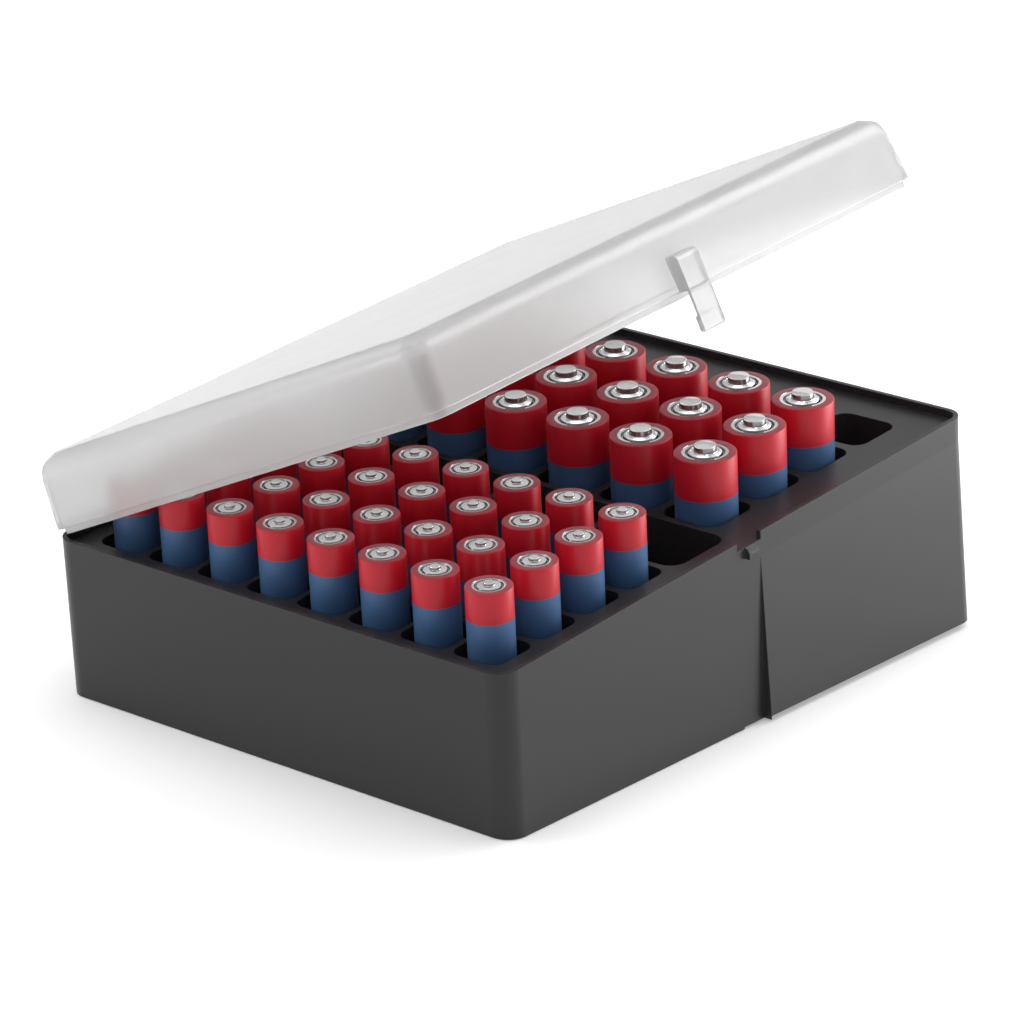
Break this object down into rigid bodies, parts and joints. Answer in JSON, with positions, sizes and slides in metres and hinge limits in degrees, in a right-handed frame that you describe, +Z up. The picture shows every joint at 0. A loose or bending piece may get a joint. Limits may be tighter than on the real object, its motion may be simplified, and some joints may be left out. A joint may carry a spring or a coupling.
{
  "type": "battery storage case",
  "caption": "Black wedge-shaped storage case with wells for round and block cells, standing cells, and a hinged frosted lid with a snap tab, shown part open.",
  "frame": {"origin": "centre of the base's footprint, on the underside plane that it stands on", "axes": "+X to the right along the front wall, +Y from the front wall to the hinges, +Z up"},
  "size_m": [0.1819, 0.1392, 0.1228],
  "materials": {
    "case_black": "satin black moulded plastic",
    "cover_black": "matt black moulded plastic",
    "screw_steel": "zinc-plated steel",
    "lid_frosted": "frosted translucent polypropylene",
    "small_cell": "glossy printed wrap in red over blue, metal ends",
    "large_cell": "glossy printed wrap in red over blue, metal ends"
  },
  "bodies": {
    "base": {"case_base": "case_black", "bottom_cover": "cover_black", "cover_screws": "screw_steel", "aaa_cell_1_1": "small_cell", "aaa_cell_1_2": "small_cell", "aaa_cell_1_3": "small_cell", "aaa_cell_1_4": "small_cell", "aaa_cell_1_5": "small_cell", "aaa_cell_1_6": "small_cell", "aaa_cell_1_7": "small_cell", "aaa_cell_1_8": "small_cell", "aaa_cell_2_1": "small_cell", "aaa_cell_2_2": "small_cell", "aaa_cell_2_3": "small_cell", "aaa_cell_2_4": "small_cell", "aaa_cell_2_5": "small_cell", "aaa_cell_2_6": "small_cell", "aaa_cell_2_7": "small_cell", "aaa_cell_2_8": "small_cell", "aaa_cell_3_1": "small_cell", "aaa_cell_3_2": "small_cell", "aaa_cell_3_3": "small_cell", "aaa_cell_3_4": "small_cell", "aaa_cell_3_5": "small_cell", "aaa_cell_3_6": "small_cell", "aaa_cell_3_7": "small_cell", "aaa_cell_3_8": "small_cell", "aaa_cell_4_1": "small_cell", "aaa_cell_4_2": "small_cell", "aaa_cell_4_3": "small_cell", "aaa_cell_4_4": "small_cell", "aaa_cell_4_5": "small_cell", "aaa_cell_4_6": "small_cell", "aaa_cell_4_7": "small_cell", "aaa_cell_4_8": "small_cell", "aa_cell_1_1": "large_cell", "aa_cell_1_2": "large_cell", "aa_cell_1_3": "large_cell", "aa_cell_1_4": "large_cell", "aa_cell_1_5": "large_cell", "aa_cell_1_6": "large_cell", "aa_cell_2_1": "large_cell", "aa_cell_2_2": "large_cell", "aa_cell_2_3": "large_cell", "aa_cell_2_4": "large_cell", "aa_cell_2_5": "large_cell", "aa_cell_2_6": "large_cell", "aa_cell_3_1": "large_cell", "aa_cell_3_2": "large_cell", "aa_cell_3_3": "large_cell", "aa_cell_3_4": "large_cell", "aa_cell_3_5": "large_cell", "aa_cell_3_6": "large_cell"},
    "lid": {"lid": "lid_frosted"}
  },
  "joints": [
    {"name": "lid_hinge", "type": "hinge", "parent": "base", "child": "lid", "pos_m": [-0.00388, 0.0668, 0.04439], "axis": [-0.9962, 0, -0.0872], "range_deg": [-25.4, 75]}
  ]
}
